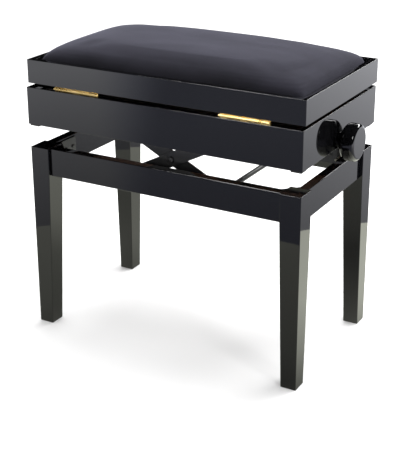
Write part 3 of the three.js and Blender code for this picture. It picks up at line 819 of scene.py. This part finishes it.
def card(name, height, material, gloss_only=True):
    """A level rectangle under the whole studio, which isn't part of the bench."""
    data = bpy.data.meshes.new(name)
    left, right, front, back = -6, 6, -6, 9
    corners = [(left, front, height), (right, front, height), (right, back, height), (left, back, height)]
    data.from_pydata(corners, [], [(0, 1, 2, 3)])
    data.materials.append(material)
    made = bpy.data.objects.new(name, data)
    scene.collection.objects.link(made)
    if gloss_only:
        made.visible_camera = made.visible_diffuse = False
        made.visible_shadow = made.visible_transmission = False


def floor_paint():
    made = Shader("floor_paper", Roughness=0.9, Specular_IOR_Level=0.0)
    made.surface.inputs["Base Color"].default_value = (0.8, 0.8, 0.8, 1)
    return made.material


def painted_floor_reflection():
    """A painted reflection: a card that glows only for gloss, in place of the floor, showing a pale round
    table and the room beyond.

    It is set up for this bench, and its light and dark sides don't follow from the lights.
    """
    made = Shader("painted_floor_reflection")
    tree = made.tree
    where = made.node("TexCoord", output="Object")
    split = tree.nodes.new("ShaderNodeSeparateXYZ")
    tree.links.new(where, split.inputs[0])
    x, y = split.outputs["X"], split.outputs["Y"]

    def math_node(operation, a, b=0.0):
        return made.node("Math", {0: a, 1: b}, operation=operation)

    def ramp(value, start, end, low, high, smooth=False):
        inputs = {"Value": value, "From Min": start, "From Max": end, "To Min": low, "To Max": high}
        return made.node("MapRange", inputs, interpolation_type="SMOOTHSTEP" if smooth else "LINEAR")

    table_centre = (-0.07, 0.035, 0)
    radius = made.node("VectorMath", {0: where, 1: table_centre}, output="Value", operation="DISTANCE")
    # the table's painted light: bright behind and to the right, with the bench's painted shade in front
    # and below
    behind = math_node("MULTIPLY", ramp(y, -0.18, 0.17, 0, 1.25), ramp(x, -0.3, 0.35, 0.25, 1))
    in_front = ramp(y, -0.75, -0.17, 0.42, 0)
    to_left = ramp(x, -0.28, 0.0, 0.3, 0)
    to_right = ramp(x, 0.24, 0.31, 0, 0.3)
    table = math_node("ADD", math_node("ADD", behind, in_front), math_node("ADD", to_left, to_right))
    table = math_node("ADD", table, 0.4)
    across = ramp(math_node("ABSOLUTE", math_node("ADD", x, 0.02)), 0.2, 0.36, 1, 0, True)
    along = ramp(math_node("ABSOLUTE", y), 0.08, 0.3, 1, 0, True)
    shade = math_node("SUBTRACT", 1.0, math_node("MULTIPLY", math_node("MULTIPLY", across, along), 0.4))
    table = math_node("MULTIPLY", table, shade)
    # the room's painted light: brighter with distance, with a painted dark patch around the camera
    near_room = ramp(radius, 0.8, 1.3, 0.5, 0.85)
    far_room = ramp(radius, 1.3, 2.3, 0, 1.05)
    room = math_node("MULTIPLY", math_node("ADD", near_room, far_room), ramp(y, 0.8, 1.9, 1, 0.87))
    angle = math_node("ARCTAN2", x, math_node("MULTIPLY", y, -1.0))
    left_of_camera = ramp(angle, -0.64, -0.5, 0, 1, True)
    right_of_camera = ramp(angle, 1.0, 1.3, 1, 0, True)
    dark = math_node("MULTIPLY", left_of_camera, right_of_camera)
    camera_side = ramp(radius, 0.8, 1.6, 0.3, 0.46)
    outside = made.node("Mix", {0: dark, 2: room, 3: camera_side})
    table_radius = 0.776
    on_table = math_node("LESS_THAN", radius, table_radius)
    strength = made.node("Mix", {0: on_table, 2: outside, 3: table})
    room_tint, camera_side_tint, table_tint = (0.99, 1, 1.06, 1), (0.93, 0.97, 1.22, 1), (1, 1.02, 0.88, 1)
    tint = made.node("Mix", {0: dark, 6: room_tint, 7: camera_side_tint}, 2, data_type="RGBA")
    tint = made.node("Mix", {0: on_table, 6: tint, 7: table_tint}, 2, data_type="RGBA")
    # the painted light and shade glow as emission and stand in for a lit table and room
    glow = made.node("Emission", {"Color": tint, "Strength": strength})
    tree.links.new(glow, tree.nodes["Material Output"].inputs["Surface"])
    made.material.cycles.emission_sampling = "NONE"
    return made.material


def area_light(name, at, to, size, power, matt=True, gloss=True):
    """A softbox; matt and gloss say whether it lights matt surfaces and shows in gloss."""
    data = bpy.data.lights.new(name, "AREA")
    data.shape = "RECTANGLE"
    data.size, data.size_y = size
    data.energy = power
    made = bpy.data.objects.new(name, data)
    made.location = at
    made.rotation_euler = (Vector(to) - Vector(at)).to_track_quat("-Z", "Y").to_euler()
    made.visible_camera = False
    made.visible_diffuse = matt
    made.visible_glossy = gloss
    scene.collection.objects.link(made)


def studio():
    card("floor", 0, floor_paint(), gloss_only=False)
    # a card that glows only for gloss: a painted reflection of the floor and the room, with painted light
    # and shade
    card("painted_floor_reflection", 0.3 * MM, painted_floor_reflection())
    world = bpy.data.worlds.new("studio")
    scene.world = world
    world.use_nodes = True
    background = world.node_tree.nodes["Background"]
    background.inputs["Color"].default_value = (1, 1, 1, 1)
    background.inputs["Strength"].default_value = 1.15
    world.cycles_visibility.glossy = False
    area_light("overhead", (0.1, 0.7, 2.3), (0, 0, 0.3), (2.4, 1.6), 74, gloss=False)
    area_light("back_softbox", (1.0, 2.6, 1.75), (0, 0, 0.5), (2.0, 0.7), 50)
    area_light("left_softbox", (-0.85, -0.8, 2.3), (0, 0, 0.5), (0.5, 0.5), 22, matt=False)
    area_light("right_softbox", (1.9, -0.9, 1.5), (0.2, 0, 0.4), (0.3, 0.5), 8)
    area_light("front_softbox", (-0.6, -1.8, 0.75), (0.3, 0, 0.42), (0.3, 0.3), 9, matt=False)
    scene.view_settings.view_transform = "Standard"


def camera():
    """A three-quarter view from the knob's end, a little above the seat."""
    azimuth, elevation, distance = math.radians(29.09), math.radians(19.63), 2.06674
    aim_across, aim_height = 0.01523, 0.31186
    centre_x = -17.5 * MM
    level = Vector((math.sin(azimuth), -math.cos(azimuth), 0))
    back = level * math.cos(elevation) + Z * math.sin(elevation)
    right = Vector((math.cos(azimuth), math.sin(azimuth), 0))
    data = bpy.data.cameras.new("camera")
    data.sensor_width = 36
    data.lens = 86.92
    data.shift_x = -0.0209
    data.shift_y = -0.1264
    made = bpy.data.objects.new("camera", data)
    made.location = Vector((centre_x, 0, aim_height)) + right * aim_across + back * distance
    made.rotation_euler = Matrix((right, back.cross(right), back)).transposed().to_euler()
    scene.collection.objects.link(made)
    scene.camera = made


leg_frame()
scissor_lift()
storage_box()
lid()
hinges()
spindle()
knob()
seat_cushion()
studio()
camera()
